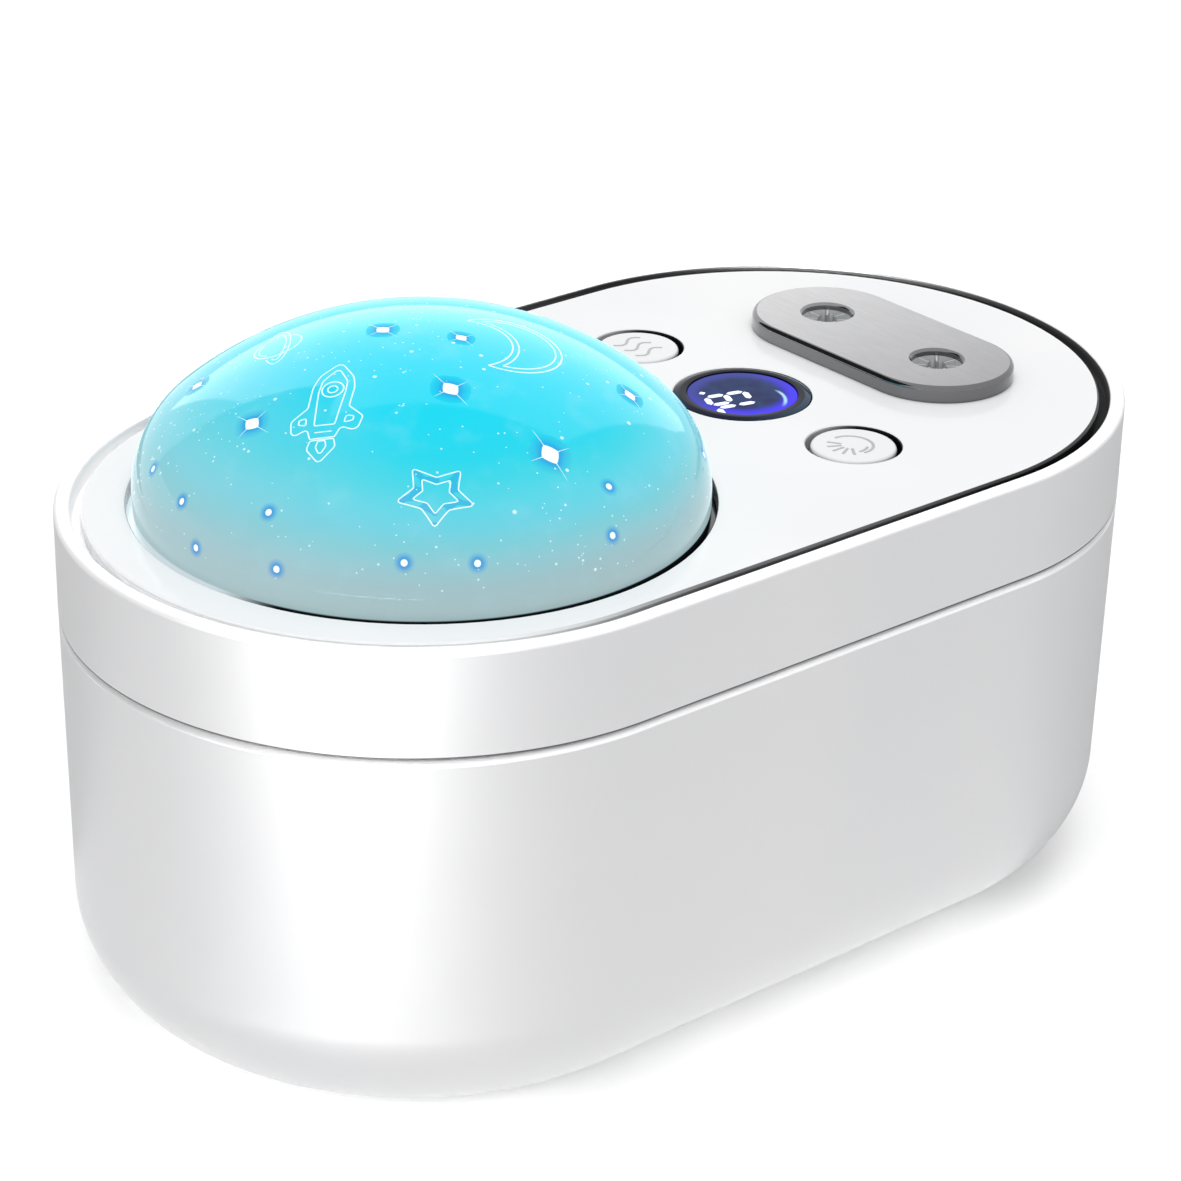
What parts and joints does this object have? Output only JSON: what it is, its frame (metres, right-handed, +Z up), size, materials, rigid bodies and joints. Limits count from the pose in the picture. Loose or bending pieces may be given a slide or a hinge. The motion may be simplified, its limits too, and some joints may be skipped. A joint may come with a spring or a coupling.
{
  "type": "star night light projector",
  "caption": "Stadium-shaped star night light with a glowing projector dome, round display, push buttons and mist outlets on a lift-off lid over a water tank.",
  "frame": {"origin": "on the surface it stands on, under the middle of the body", "axes": "+Z up; +X along the body from the dome end to the mist outlet end; the front is -Y, the supply socket is at +Y"},
  "size_m": [0.1718, 0.1, 0.1012],
  "materials": {
    "tank_plastic": "high gloss",
    "lid_plastic": "high gloss",
    "panel_plastic": "high gloss",
    "inner_plastic": "matt",
    "feet_rubber": "matt",
    "dark_strip": "matt",
    "seal_silicone": "matt",
    "dome_lens": "frosted, glossy outside",
    "star_film": "printed film",
    "black_plastic": "matt",
    "reflector_white": "satin",
    "board_green": "satin",
    "led_chip": "satin",
    "screw_steel": "bright",
    "motor_steel": "satin",
    "ripple_clear": "clear, rippled",
    "button_plastic": "satin",
    "bezel_blue": "gloss",
    "window_smoke": "gloss",
    "display_black": "gloss",
    "nozzle_metal": "satin top, polished edge",
    "nozzle_dark": "gloss",
    "atomiser_brass": "satin",
    "wick_cotton": "fibrous",
    "usb_steel": "satin"
  },
  "bodies": {
    "base": {"tank": "tank_plastic", "feet": "feet_rubber"},
    "lid": {"board_chips": "black_plastic", "board_screws": "screw_steel", "disc_motor": "motor_steel", "display_bezel": "bezel_blue", "display_module": "display_black", "display_window": "window_smoke", "dome_lens": "dome_lens", "dome_retainer": "black_plastic", "front_atomiser": "atomiser_brass", "front_atomiser_seal": "seal_silicone", "front_nozzle": "nozzle_dark", "lamp_reflector": "reflector_white", "lamp_screws": "screw_steel", "led_board": "board_green", "led_chips": "led_chip", "lid_floor": "inner_plastic", "lid_screws": "screw_steel", "lid_seal": "seal_silicone", "lid_shell": "lid_plastic", "light_switch": "black_plastic", "main_board": "board_green", "mist_switch": "black_plastic", "motor_bracket": "motor_steel", "motor_screws": "screw_steel", "nozzle_cover": "nozzle_metal", "panel_strip": "dark_strip", "rear_atomiser": "atomiser_brass", "rear_atomiser_seal": "seal_silicone", "rear_nozzle": "nozzle_dark", "star_film": "star_film", "top_panel": "panel_plastic", "usb_board": "board_green", "usb_socket": "usb_steel"},
    "light_button": {"light_button": "button_plastic", "light_plunger": "black_plastic"},
    "mist_button": {"mist_button": "button_plastic", "mist_plunger": "black_plastic"},
    "ripple_disc": {"ripple_disc": "ripple_clear", "motor_shaft": "motor_steel"},
    "front_wick": {"front_wick_tube": "inner_plastic", "front_wick_cap": "inner_plastic", "front_wick_spring": "screw_steel", "front_wick": "wick_cotton"},
    "rear_wick": {"rear_wick_tube": "inner_plastic", "rear_wick_cap": "inner_plastic", "rear_wick_spring": "screw_steel", "rear_wick": "wick_cotton"}
  },
  "joints": [
    {"name": "lid_lift", "type": "slide", "parent": "base", "child": "lid", "axis": [0, 0, 1], "range_m": [0, 0.08]},
    {"name": "light_button_press", "type": "slide", "parent": "lid", "child": "light_button", "axis": [0, 0, -1], "range_m": [0, 0.0008], "stiffness_N_per_m": 1500, "springref_m": -0.0002},
    {"name": "mist_button_press", "type": "slide", "parent": "lid", "child": "mist_button", "axis": [0, 0, -1], "range_m": [0, 0.0008], "stiffness_N_per_m": 1500, "springref_m": -0.0002},
    {"name": "ripple_disc_spin", "type": "hinge", "parent": "lid", "child": "ripple_disc", "pos_m": [-0.0345, 0, 0.0635], "axis": [0, 0, 1], "continuous": true},
    {"name": "front_wick_twist", "type": "hinge", "parent": "lid", "child": "front_wick", "pos_m": [0.0544, -0.01215, 0.045], "axis": [0, 0, 1], "range_deg": [0, 60]},
    {"name": "rear_wick_twist", "type": "hinge", "parent": "lid", "child": "rear_wick", "pos_m": [0.0544, 0.01215, 0.045], "axis": [0, 0, 1], "range_deg": [0, 60]}
  ]
}
